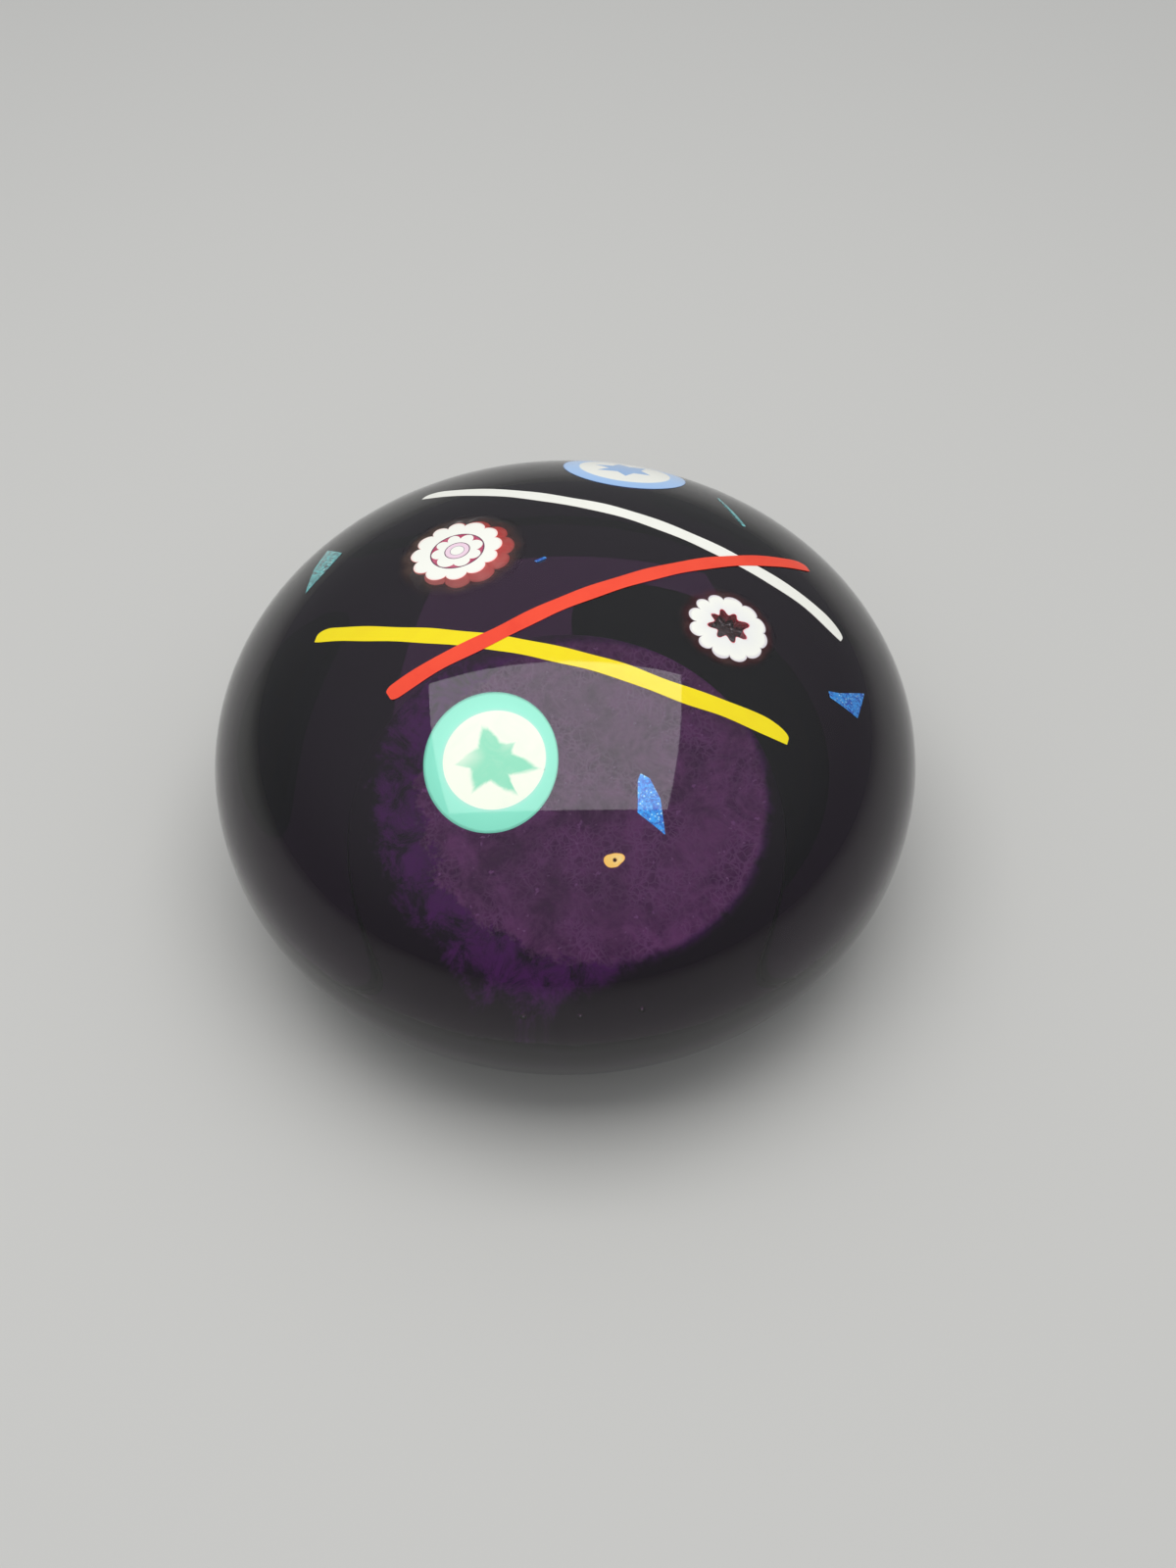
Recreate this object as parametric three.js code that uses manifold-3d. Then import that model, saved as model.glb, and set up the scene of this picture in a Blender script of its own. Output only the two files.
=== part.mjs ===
// Studio-glass paperweight: a flattened glass pebble, ground flat underneath, with slices of patterned cane,
// thin glass rods, chips and a crumb of coloured glass melted into its upper surface, flush with it.
// Millimetres, +Z up. The origin is the middle of the flat base, and the front is -Y.

import * as THREE from 'three';
import { mergeVertices } from 'three/addons/utils/BufferGeometryUtils.js';
import Module from 'manifold-3d';

const wasm = await Module();
wasm.setup();

// ---------------------------------------------------------------- driving dimensions

// Above its widest level the pebble is half an ellipsoid. Below it the profile is fuller, down to the flat base.
const DOME_RADIUS = 40; // half the width at the widest level
const DOME_HALF_HEIGHT = 26; // height of the upper half
const WIDEST_LEVEL = 18; // height of the widest level above the flat base
const BASE_RADIUS = 14.4;
const LOWER_FULLNESS = 2.6; // exponent of the lower profile, which would be an ellipse at 2
const DOME_SIDES = 64;
const UPPER_BANDS = 14; // bands of facets above the widest level
const LOWER_BANDS = 8; // and below it

// Gaps between glasses that are melted together on the real piece.
const LAYER_GAP = 0.2; // between the layers of one cane slice
const POCKET_GAP = 0.3; // between an inlay and the body round it
const CUTTER_TOP = 4; // how far an inlay's outline is carried above the dome before it is trimmed flush
const WELD = 1e-4; // corners closer together than this become one
const BLUNTEST_MITRE = 0.45; // holds back the corner of a very sharp point when an outline is grown

// Thin rods, pulled from molten glass and pressed into the surface.
const ROD_RADIUS = 0.95;
const ROD_DEPTH = 0.35; // rod's axis below the surface
const ROD_SIDES = 8;
const ROD_STEP = 3.4; // length of one straight stretch of a rod
const DIP_DEPTH = 2.65; // axis of the lower rod below the surface where another rod crosses it
const DIP_REACH = 5; // how far each side of a crossing the lower rod starts to dip
const DIP_SEARCH_STEPS = 200; // points along a rod among which the dip's ends are found

// Thickness of each inlay, down from the surface.
const SLICE_DEPTH = 2.6;
const FLOWER_DEPTH = 2.2;
const CHIP_DEPTH = 0.9;
const FLOWER_LEAN = new THREE.Vector2(0.35, -0.05); // sideways run of the flower cane for each mm of depth

// Points to an arm, or petals to a ring, in the patterned canes.
const BIG_STAR_ARMS = 6;
const FLOWER_PETALS = 12;
const INNER_PETALS = 8;
const DAISY_PETALS = 12;
const DAISY_STAR_ARMS = 8;
const STEPS_PER_PETAL = 4; // an even number, so that each petal has a tip
const PETAL_ROUNDNESS = 0.7; // under 1 for petals that swell quickly from the notch
const ROUND_STEPS = 32; // sides to the outline of a large round layer
const SMALL_ROUND_STEPS = 18; // and of one under SMALL_ROUND across
const SMALL_ROUND = 3.2;

// ---------------------------------------------------------------- the dome's surface

const UP = new THREE.Vector3(0, 0, 1);

function domePoint(x, y, depth = 0) {
  const rise = DOME_HALF_HEIGHT * Math.sqrt(1 - (x * x + y * y) / DOME_RADIUS ** 2);
  const point = new THREE.Vector3(x, y, WIDEST_LEVEL + rise);
  return point.addScaledVector(domeNormal(x, y), -depth);
}

function domeNormal(x, y) {
  const rise = DOME_HALF_HEIGHT * Math.sqrt(1 - (x * x + y * y) / DOME_RADIUS ** 2);
  return new THREE.Vector3(
    x / DOME_RADIUS ** 2,
    y / DOME_RADIUS ** 2,
    rise / DOME_HALF_HEIGHT ** 2,
  ).normalize();
}

// A group whose origin touches the dome above plan point (x, y), with its Z along the dome's normal there.
function seatOn(x, y) {
  const seat = new THREE.Group();
  seat.position.copy(domePoint(x, y));
  seat.quaternion.setFromUnitVectors(UP, domeNormal(x, y));
  seat.updateMatrix();
  return seat;
}

// ---------------------------------------------------------------- solids and meshes

// Turns a closed three.js geometry into a solid that can be joined and cut.
function solidOf(geometry) {
  const bare = geometry.index ? geometry.toNonIndexed() : geometry.clone();
  bare.deleteAttribute('normal');
  bare.deleteAttribute('uv');
  const merged = mergeVertices(bare, WELD);
  const corners = merged.index.array;
  const triVerts = [];
  for (let i = 0; i < corners.length; i += 3) {
    const [a, b, c] = [corners[i], corners[i + 1], corners[i + 2]];
    if (a !== b && b !== c && c !== a) triVerts.push(a, b, c);
  }
  return new wasm.Manifold(new wasm.Mesh({
    numProp: 3,
    vertProperties: new Float32Array(merged.attributes.position.array),
    triVerts: new Uint32Array(triVerts),
  }));
}

function meshOf(name, solid, look) {
  const { vertProperties, triVerts } = solid.getMesh();
  const geometry = new THREE.BufferGeometry();
  geometry.setAttribute('position', new THREE.BufferAttribute(vertProperties, 3));
  geometry.setIndex(new THREE.BufferAttribute(triVerts, 1));
  geometry.computeVertexNormals();
  const mesh = new THREE.Mesh(geometry, new THREE.MeshStandardMaterial({ metalness: 0, ...look }));
  mesh.name = name;
  return mesh;
}

// The lower profile, from just outside the flat base up to just below the widest level.
function lowerProfile() {
  const power = 2 / LOWER_FULLNESS;
  const lowest = Math.acos((BASE_RADIUS / DOME_RADIUS) ** (1 / power));
  const reach = WIDEST_LEVEL / Math.sin(lowest) ** power;
  const points = [];
  for (let i = 1; i < LOWER_BANDS; i += 1) {
    const angle = lowest * (1 - i / LOWER_BANDS);
    points.push(new THREE.Vector2(
      DOME_RADIUS * Math.cos(angle) ** power,
      WIDEST_LEVEL - reach * Math.sin(angle) ** power,
    ));
  }
  return points;
}

function domeSolid() {
  const profile = [new THREE.Vector2(0, 0), new THREE.Vector2(BASE_RADIUS, 0), ...lowerProfile()];
  for (let i = 0; i < UPPER_BANDS; i += 1) {
    const angle = (i / UPPER_BANDS) * (Math.PI / 2);
    profile.push(new THREE.Vector2(
      DOME_RADIUS * Math.cos(angle),
      WIDEST_LEVEL + DOME_HALF_HEIGHT * Math.sin(angle),
    ));
  }
  profile.push(new THREE.Vector2(0, WIDEST_LEVEL + DOME_HALF_HEIGHT));
  return solidOf(new THREE.LatheGeometry(profile, DOME_SIDES).rotateX(Math.PI / 2));
}

// ---------------------------------------------------------------- outlines, drawn flat on a seat

function polarOutline(steps, radiusAt, middle = [0, 0]) {
  const outline = [];
  for (let i = 0; i < steps; i += 1) {
    const angle = (i / steps) * 2 * Math.PI;
    const radius = radiusAt(angle);
    outline.push(new THREE.Vector2(
      middle[0] + radius * Math.cos(angle),
      middle[1] + radius * Math.sin(angle),
    ));
  }
  return outline;
}

function circle(radius, middle) {
  const steps = 2 * radius < SMALL_ROUND ? SMALL_ROUND_STEPS : ROUND_STEPS;
  return polarOutline(steps, () => radius, middle);
}

function oval(halfWidth, halfHeight, middle, turn = 0) {
  const steps = 2 * halfWidth < SMALL_ROUND ? SMALL_ROUND_STEPS : ROUND_STEPS;
  const rim = polarOutline(steps, () => 1);
  return rim.map((p) => new THREE.Vector2(p.x * halfWidth, p.y * halfHeight)
    .rotateAround(new THREE.Vector2(), THREE.MathUtils.degToRad(turn))
    .add(new THREE.Vector2(...middle)));
}

// A ring of round petals: the radius swings from notch to tip along each one. turn is a notch's angle.
function petals(count, notch, tip, turn, middle) {
  const start = THREE.MathUtils.degToRad(turn);
  const swell = (angle) => Math.abs(Math.sin((count * angle) / 2)) ** PETAL_ROUNDNESS;
  const ring = polarOutline(count * STEPS_PER_PETAL, (angle) => notch + (tip - notch) * swell(angle));
  return ring.map((p) => p.rotateAround(new THREE.Vector2(), start).add(new THREE.Vector2(...middle)));
}

// A star with straight edges. turn is one tip's angle, and swirl bends the tips round, like a pinwheel.
function star(arms, root, tip, turn, swirl = 0) {
  const outline = [];
  for (let i = 0; i < 2 * arms; i += 1) {
    const isTip = i % 2 === 0;
    const angle = THREE.MathUtils.degToRad(turn + (isTip ? swirl : 0) + (i * 180) / arms);
    const radius = isTip ? tip : root;
    outline.push(new THREE.Vector2(radius * Math.cos(angle), radius * Math.sin(angle)));
  }
  return outline;
}

// Moves every edge of a counter-clockwise outline outwards by distance, or inwards if it is negative.
function grown(outline, distance) {
  return outline.map((corner, i) => {
    const before = outline[(i + outline.length - 1) % outline.length];
    const after = outline[(i + 1) % outline.length];
    const along = [corner.clone().sub(before).normalize(), after.clone().sub(corner).normalize()];
    const outwards = along.map((edge) => new THREE.Vector2(edge.y, -edge.x));
    const mitre = outwards[0].clone().add(outwards[1]).normalize();
    return corner.clone().addScaledVector(mitre, distance / Math.max(BLUNTEST_MITRE, mitre.dot(outwards[0])));
  });
}

// A straight prism on a seat, from above the dome down to depth, leaning sideways as it goes down.
function prism(outline, holes, depth, lean = new THREE.Vector2()) {
  const shape = new THREE.Shape(outline);
  shape.holes = holes.map((hole) => new THREE.Path(hole));
  const geometry = new THREE.ExtrudeGeometry(shape, { depth: depth + CUTTER_TOP, bevelEnabled: false });
  geometry.translate(0, 0, -depth);
  const shear = new THREE.Matrix4().makeShear(0, 0, 0, 0, -lean.x, -lean.y);
  return solidOf(geometry.applyMatrix4(shear));
}

// ---------------------------------------------------------------- putting the piece together

const paperweight = new THREE.Group();
const dome = domeSolid();
const pockets = [];

// Glass let into the dome at plan point (x, y). layers runs from the outside in, and each layer reaches
// from its own outline in to the next one's.
function addInlay(at, depth, layers, lean) {
  const seat = seatOn(...at);
  const domeFromSeat = dome.transform(seat.matrix.clone().invert().elements);
  layers.forEach(({ name, outline, look }, i) => {
    const inner = layers[i + 1];
    const holes = inner ? [grown(inner.outline, LAYER_GAP / 2)] : [];
    const layer = prism(grown(outline, -LAYER_GAP / 2), holes, depth, lean);
    seat.add(meshOf(name, layer.intersect(domeFromSeat), look));
  });
  const pocket = grown(layers[0].outline, POCKET_GAP - LAYER_GAP / 2);
  pockets.push(prism(pocket, [], depth + POCKET_GAP, lean).transform(seat.matrix.elements));
  paperweight.add(seat);
  return seat;
}

// ---------------------------------------------------------------- cane slices

function addTealStarSlice() {
  addInlay([-7.1, -19.8], SLICE_DEPTH, [
    {
      name: 'teal_star_coat',
      outline: oval(6.75, 7.45, [-0.4, 0.1]),
      look: { color: 0x6ecdb4, roughness: 0.1 },
    },
    { name: 'teal_star_field', outline: circle(5.15, [0, 0.1]), look: { color: 0xf4f2e8, roughness: 0.1 } },
    {
      name: 'teal_star_core',
      outline: star(BIG_STAR_ARMS, 2.3, 3.9, -4, -11),
      look: { color: 0x78c8aa, roughness: 0.1 },
    },
  ]);
}

function addBlueStarSlice() {
  addInlay([7.4, 26.2], SLICE_DEPTH, [
    { name: 'blue_star_coat', outline: circle(7.2), look: { color: 0x699be6, roughness: 0.1 } },
    { name: 'blue_star_field', outline: circle(5.3), look: { color: 0xfcfaf0, roughness: 0.1 } },
    {
      name: 'blue_star_core',
      outline: star(BIG_STAR_ARMS, 2, 3.6, 33),
      look: { color: 0x73a0e1, roughness: 0.1 },
    },
  ]);
}

function addFlowerSlice() {
  const middle = [0, 0];
  addInlay([-11.7, 7.4], FLOWER_DEPTH, [
    { name: 'flower_clear_coat', outline: circle(7.1, [0.4, 0]), look: { color: 0x2a1a16, roughness: 0.05 } },
    {
      name: 'flower_red_coat',
      outline: petals(FLOWER_PETALS, 5.1, 5.85, -10, [0.15, -0.05]),
      look: { color: 0xeb3c3c, roughness: 0.1 },
    },
    {
      name: 'flower_petals',
      outline: petals(FLOWER_PETALS, 4.45, 5.2, -10, middle),
      look: { color: 0xfcfaf0, roughness: 0.1 },
    },
    { name: 'flower_rose_field', outline: circle(3, middle), look: { color: 0xaa3250, roughness: 0.1 } },
    {
      name: 'flower_inner_petals',
      outline: petals(INNER_PETALS, 2.1, 2.6, -6, middle),
      look: { color: 0xfcfaf0, roughness: 0.1 },
    },
    { name: 'flower_pink_ring', outline: circle(1.4, middle), look: { color: 0xfae1eb, roughness: 0.1 } },
    { name: 'flower_eye', outline: circle(0.75, middle), look: { color: 0xfcfaf0, roughness: 0.1 } },
  ], FLOWER_LEAN);
}

function addDaisySlice() {
  addInlay([17, -3.4], SLICE_DEPTH, [
    { name: 'daisy_clear_coat', outline: circle(5.7), look: { color: 0x3c141c, roughness: 0.05 } },
    {
      name: 'daisy_petals',
      outline: petals(DAISY_PETALS, 3.85, 4.5, 0, [0, 0]),
      look: { color: 0xfcfcf6, roughness: 0.1 },
    },
    {
      name: 'daisy_core',
      outline: star(DAISY_STAR_ARMS, 1.7, 2.6, 13),
      look: { color: 0x501e28, roughness: 0.05 },
    },
  ]);
}

// ---------------------------------------------------------------- chips and frit

// A chip's outline is given in plan, in mm from the middle of the paperweight, counter-clockwise.
function addChip(name, color, corners) {
  const middle = [0, 0];
  for (const [x, y] of corners) {
    middle[0] += x / corners.length;
    middle[1] += y / corners.length;
  }
  const toSeat = seatOn(...middle).matrix.clone().invert();
  const outline = corners.map(([x, y]) => {
    const corner = domePoint(x, y).applyMatrix4(toSeat);
    return new THREE.Vector2(corner.x, corner.y);
  });
  addInlay(middle, CHIP_DEPTH, [{ name, outline, look: { color, roughness: 0.2, metalness: 0.6 } }]);
}

function addChips() {
  addChip('dichroic_chip_front', 0x1e6ed2, [
    [7, -22], [6.9, -24.9], [9.6, -26.6], [9.2, -23.5], [8.2, -21.7], [7.3, -21.3],
  ]);
  addChip('dichroic_chip_right', 0x2f86d8, [
    [27.7, -8.6], [30.8, -9.4], [32, -5.7], [28.9, -7.5], [27.6, -7.9],
  ]);
  addChip('dichroic_chip_left', 0x3cbebe, [
    [-26.8, 16.4], [-28, 12.9], [-28.5, 8.2], [-26.2, 11], [-24.7, 13.5],
  ]);
  addChip('dichroic_sliver_back', 0x2c6478, [[18, 21.9], [17.9, 21.4], [20.2, 15.1], [20.6, 15.3]]);
  addChip('dichroic_fleck_top', 0x3a5aa0, [[-3, 4.3], [-2.8, 4], [-1.7, 4.6], [-1.9, 4.9]]);
}

// The frit crumb has a small pit in its top, left by a burst bubble.
function addFrit() {
  const [pitRadius, pitDepth] = [0.18, 0.5];
  const seat = addInlay([4.5, -29], CHIP_DEPTH, [
    {
      name: 'orange_frit',
      outline: oval(1.05, 0.68, [0, 0], 15),
      look: { color: 0xfab85a, roughness: 0.15 },
    },
  ]);
  const frit = seat.children[0];
  const pit = prism(circle(pitRadius, [0.1, 0]), [], pitDepth);
  frit.geometry = meshOf('', solidOf(frit.geometry).subtract(pit), {}).geometry;
}

// ---------------------------------------------------------------- rods laid across the top

// A rod's path in plan, carried down to the dome and depthAt(point) below it. overrun lengthens both ends.
function rodPath(route, depthAt, overrun = 0) {
  const plan = new THREE.CatmullRomCurve3(route.map(([x, y]) => new THREE.Vector3(x, y, 0)));
  const points = plan.getSpacedPoints(Math.round(plan.getLength() / ROD_STEP));
  const ends = [points[0], points.at(-1)];
  const next = [points[1], points.at(-2)];
  ends.forEach((end, i) => end.addScaledVector(end.clone().sub(next[i]).normalize(), overrun));
  return points.map((p) => domePoint(p.x, p.y, depthAt(p)));
}

function rodSolid(points, radius) {
  const section = new THREE.Shape(polarOutline(ROD_SIDES, () => radius));
  const extrudePath = new THREE.CatmullRomCurve3(points);
  return solidOf(new THREE.ExtrudeGeometry(section, { extrudePath, steps: points.length }));
}

// The lower of two crossing rods is pressed down under the upper one.
function dipAt(crossing) {
  return (point) => {
    const away = Math.hypot(point.x - crossing[0], point.y - crossing[1]) / DIP_REACH;
    const share = away < 1 ? Math.cos((away * Math.PI) / 2) ** 2 : 0;
    return THREE.MathUtils.lerp(ROD_DEPTH, DIP_DEPTH, share);
  };
}

// The stretch of a route within DIP_REACH of the crossing, as three plan points.
function stretchAt(route, crossing) {
  const plan = new THREE.CatmullRomCurve3(route.map(([x, y]) => new THREE.Vector3(x, y, 0)));
  const middle = new THREE.Vector3(...crossing, 0);
  const near = plan.getSpacedPoints(DIP_SEARCH_STEPS).filter((p) => p.distanceTo(middle) < DIP_REACH);
  return [near[0], near[Math.floor(near.length / 2)], near.at(-1)].map((p) => [p.x, p.y]);
}

const flush = () => ROD_DEPTH;

function addRods() {
  // Each rod's middle line in plan.
  const routes = {
    red: [
      [-17.9, -11.2], [-13.3, -8.8], [-7.2, -6.1], [-1, -2.7], [5.2, 0.5], [11.7, 3.8], [18.5, 7.1],
      [27.2, 11],
    ],
    white: [
      [-15.6, 21.7], [-8, 18.9], [0, 15.7], [5.5, 13.7], [10.9, 11.3], [18.5, 7.6], [25.7, 4], [30.2, 0.7],
    ],
    yellow: [
      [-26.3, -0.3], [-18.9, -3.2], [-12.4, -5.3], [-6.6, -7], [-1, -8.7], [5.1, -10.5], [11.1, -12.5],
      [16.2, -13.6], [22.7, -15],
    ],
  };
  const crossings = { white: [19, 7.4], yellow: [-8.4, -6.6] };
  const wide = ROD_RADIUS + POCKET_GAP;

  const redRod = rodSolid(rodPath(routes.red, flush), ROD_RADIUS);
  const redPocket = rodSolid(rodPath(routes.red, flush, POCKET_GAP), wide);
  pockets.push(redPocket);
  paperweight.add(meshOf('red_stringer', redRod.intersect(dome), { color: 0xeb3c2d, roughness: 0.1 }));

  const colors = { white: 0xfffcf0, yellow: 0xfad200 };
  for (const [name, crossing] of Object.entries(crossings)) {
    const dip = stretchAt(routes[name], crossing);
    const rod = rodSolid(rodPath(routes[name], flush), ROD_RADIUS)
      .add(rodSolid(rodPath(dip, dipAt(crossing)), ROD_RADIUS));
    pockets.push(rodSolid(rodPath(routes[name], flush, POCKET_GAP), wide));
    pockets.push(rodSolid(rodPath(dip, dipAt(crossing)), wide));
    const look = { color: colors[name], roughness: 0.1 };
    paperweight.add(meshOf(`${name}_stringer`, rod.subtract(redPocket).intersect(dome), look));
  }
}

// ---------------------------------------------------------------- the body, cut to take every inlay

function addBody() {
  const body = pockets.reduce((solid, pocket) => solid.subtract(pocket), dome);
  const look = { color: 0x2c1838, roughness: 0.03, transparent: true, opacity: 0.6 };
  paperweight.add(meshOf('glass_body', body, look));
}

addTealStarSlice();
addBlueStarSlice();
addFlowerSlice();
addDaisySlice();
addChips();
addFrit();
addRods();
addBody();

export default paperweight;
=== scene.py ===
"""Looks of the glass paperweight: a dark purple dome with cane slices, rods, chips and frit in its top."""

import math

import bpy
import numpy as np
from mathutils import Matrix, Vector


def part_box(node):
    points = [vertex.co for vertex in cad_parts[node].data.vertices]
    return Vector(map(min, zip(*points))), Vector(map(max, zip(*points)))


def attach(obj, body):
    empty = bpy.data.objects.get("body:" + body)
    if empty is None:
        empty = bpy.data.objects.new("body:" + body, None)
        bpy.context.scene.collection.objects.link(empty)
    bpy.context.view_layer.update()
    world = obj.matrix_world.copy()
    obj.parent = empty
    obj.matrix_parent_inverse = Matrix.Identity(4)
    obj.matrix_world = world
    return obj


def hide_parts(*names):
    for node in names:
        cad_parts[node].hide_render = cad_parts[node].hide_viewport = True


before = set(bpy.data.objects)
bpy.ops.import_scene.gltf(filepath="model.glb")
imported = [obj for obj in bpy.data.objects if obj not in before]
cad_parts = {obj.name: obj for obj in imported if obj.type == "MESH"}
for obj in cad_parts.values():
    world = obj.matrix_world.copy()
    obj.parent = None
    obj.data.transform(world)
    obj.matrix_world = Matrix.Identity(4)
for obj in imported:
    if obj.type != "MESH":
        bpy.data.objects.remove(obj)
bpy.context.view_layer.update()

MM = 0.001
ROOT = "root"

# ------------------------------------------------------------------ sizes, in metres unless a name says mm

DOME_LOW, DOME_HIGH = (Vector(corner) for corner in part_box("glass_body"))
HEIGHT = DOME_HIGH.z - DOME_LOW.z
DOME_RADIUS = (DOME_HIGH.x - DOME_LOW.x) / 2
WIDEST_LEVEL = HEIGHT * 18 / 44
HALF_HEIGHT = HEIGHT - WIDEST_LEVEL  # of the upper half, which is half an ellipsoid
BASE_RADIUS = DOME_RADIUS * 0.36
LOWER_FULLNESS = 2.6  # exponent of the lower profile, which would be an ellipse at 2
BASE_LIFT = 0.1 * MM  # the clear body stops this far above the table, inside the ground glass
GROUND_EDGE = DOME_RADIUS * 0.46  # the ground glass is carried up the underside to here
GROUND_SKIN = 0.03 * MM  # how far it stands out from the underside
FROST_RADIUS = 14.8 * MM  # of its frosted part, which lies off centre
FROST_MIDDLE = (2.2 * MM, 2.8 * MM)
VIOLET_WIDTH = 3.4 * MM  # of the violet zone beside the frost, where it is widest

PROUD = 0.03 * MM  # how far an inlay's top stands above the body, so that it is the surface that shows
AROUND = 360  # points round the outline of an inlay
ACROSS = 12  # rings of faces across the top of a layer
WALL_PARTS = (0.33, 0.67, 1.0)  # rings down the side of a layer, as shares of its depth
WELL_FLOOR = 0.3 * MM  # thickness of the cup's floor
WELL_RIM, WELL_INSIDE = 0.965, 0.955  # size of the cup's inner rim and of its inside beside its outside
SLICE_DEPTH, SLICE_FOOT = 1.3 * MM, 0.93  # how deep a slice goes, and the size of its foot beside its top
FLOWER_DEPTH, FLOWER_FOOT = 1.1 * MM, 0.87
DAISY_DEPTH, DAISY_FOOT = 0.8 * MM, 0.84
DAISY_WELL_DEPTH = 2.4 * MM
SOFT_EDGE = 1.12  # the teal star's piece is this much larger than the star, so that its border can fade
CHIP_DEPTH, CHIP_FOOT = 0.6 * MM, 0.7
ROD_RADIUS = 0.95 * MM  # half the width of a rod at the surface
ROD_DEPTH = 0.9 * MM  # of its half-round underside
ROD_EDGE = 0.04 * MM  # depth of the edge between its top and its underside
ROD_FOOT = 0.8  # width of the underside beside the top
ROD_SIDES = 24
CROSSING_PROUD = PROUD * 2.5  # for the rod that lies over the others
UPWARDS = np.array([0.0, 0.0, 1.0])

# ------------------------------------------------------------------ the dome's surface

SEMI_AXES = np.array([DOME_RADIUS, DOME_RADIUS, HALF_HEIGHT])
MIDDLE = np.array([0.0, 0.0, WIDEST_LEVEL])


def normals_at(points):
    """Outward normals of the dome's ellipsoid, or of the larger or smaller one through each point."""
    slope = (points - MIDDLE) / SEMI_AXES**2
    return slope / np.linalg.norm(slope, axis=-1, keepdims=True)


def onto_dome(points, along, proud=0.0):
    """Slides points in the direction along until they meet the top of the dome, then lifts them by proud."""
    start = (points - MIDDLE) / SEMI_AXES
    step = along / SEMI_AXES
    a = (step * step).sum(-1)
    b = (start * step).sum(-1)
    c = (start * start).sum(-1) - 1
    reach = (-b + np.sqrt(np.maximum(b * b - a * c, 0))) / a
    landed = points + reach[..., None] * along
    return landed + proud * normals_at(landed)


class Seat:
    """A place on the dome, with two directions along the surface and its normal."""

    def __init__(self, touching):
        self.origin = touching
        self.up = normals_at(touching)
        turn = Vector((0, 0, 1)).rotation_difference(Vector(self.up))
        self.right = np.array(turn @ Vector((1, 0, 0)))
        self.back = np.array(turn @ Vector((0, 1, 0)))

    def flat(self, outline):
        """Outline points in metres on the plane that touches the dome at the seat."""
        return self.origin + outline[..., :1] * self.right + outline[..., 1:2] * self.back


def seat_of(node):
    """The seat nearest to the middle of a CAD node's box."""
    low, high = (np.array(corner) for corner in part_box(node))
    inside = (low + high) / 2
    touching = inside
    for _ in range(12):
        touching = onto_dome(inside, normals_at(touching))
    return Seat(touching)


def seat_above(x_mm, y_mm):
    """The seat above a point of the plan."""
    return Seat(onto_dome(np.array([x_mm * MM, y_mm * MM, WIDEST_LEVEL]), UPWARDS))


# ------------------------------------------------------------------ outlines on a seat, in mm

ANGLES = np.arange(AROUND) * 2 * math.pi / AROUND


def polar(radius, middle=(0, 0), angles=ANGLES):
    return np.stack([radius * np.cos(angles), radius * np.sin(angles)], -1) + np.array(middle)


def circle(radius, middle=(0, 0)):
    return polar(np.full(AROUND, float(radius)), middle)


def oval(half_width, half_height, middle=(0, 0), turn=0.0):
    turn = math.radians(turn)
    across = np.cos(ANGLES - turn) / half_width
    up = np.sin(ANGLES - turn) / half_height
    return polar(1 / np.hypot(across, up), middle)


def uneven_petals(notches, tip, depth, roundness):
    """A ring of petals between notches at these angles. At an angle, tip gives the tips' radius and depth
    gives the notches' depth."""
    notches = np.radians(np.sort(notches))
    wrapped = np.append(notches, notches[0] + 2 * math.pi)
    along = (ANGLES - notches[0]) % (2 * math.pi) + notches[0]
    petal = np.clip(np.searchsorted(wrapped, along, side="right") - 1, 0, len(notches) - 1)
    share = (along - wrapped[petal]) / (wrapped[petal + 1] - wrapped[petal])
    return polar(tip(ANGLES) - depth(ANGLES) * (1 - np.sin(math.pi * share) ** roundness))


def scalloped_star(tips, depth, roundness):
    """A star whose points stand between rounded lobes. tips is a list of (angle, radius), and depth is how
    far the lobes reach in."""
    angles, radii = np.array(sorted(tips)).T
    angles = np.radians(np.append(angles, angles[0] + 360))
    radii = np.append(radii, radii[0])
    along = (ANGLES - angles[0]) % (2 * math.pi) + angles[0]
    share = np.interp(along, angles, np.arange(len(angles))) % 1
    radius = np.interp(along, angles, radii) - depth * np.sin(math.pi * share) ** roundness
    around = range(-AROUND // 36, AROUND // 36 + 1)  # the points are rounded off by averaging over these
    return polar(sum(np.roll(radius, k) for k in around) / len(around))


def leaning(level, swing, towards):
    """A number that varies round an outline: level, and most, by swing, at the angle towards."""
    return lambda angles: level + swing * np.cos(angles - math.radians(towards))


def from_corners(corners):
    """An outline with straight edges between corners in mm, which go round (0, 0) counter-clockwise."""
    corners = np.array(corners, float)
    ends = np.roll(corners, -1, 0)
    first = np.arctan2(corners[:, 1], corners[:, 0])
    sweep = (np.arctan2(ends[:, 1], ends[:, 0]) - first) % (2 * math.pi)
    radius = np.zeros(AROUND)
    for a, b, start, width in zip(corners, ends, first, sweep):
        inside = (ANGLES - start) % (2 * math.pi) < width
        c, d = np.cos(ANGLES[inside]), np.sin(ANGLES[inside])
        radius[inside] = (a[0] * b[1] - a[1] * b[0]) / (c * (b[1] - a[1]) - d * (b[0] - a[0]))
    return polar(radius)


def from_tips(tips, notches):
    """A star: tips and notches are lists of (angle, radius)."""
    points = sorted([*tips, *notches])
    return from_corners([(r * math.cos(math.radians(t)), r * math.sin(math.radians(t))) for t, r in points])


def between(inner, outer, share):
    return inner + (outer - inner) * share


# ------------------------------------------------------------------ meshes

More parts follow.
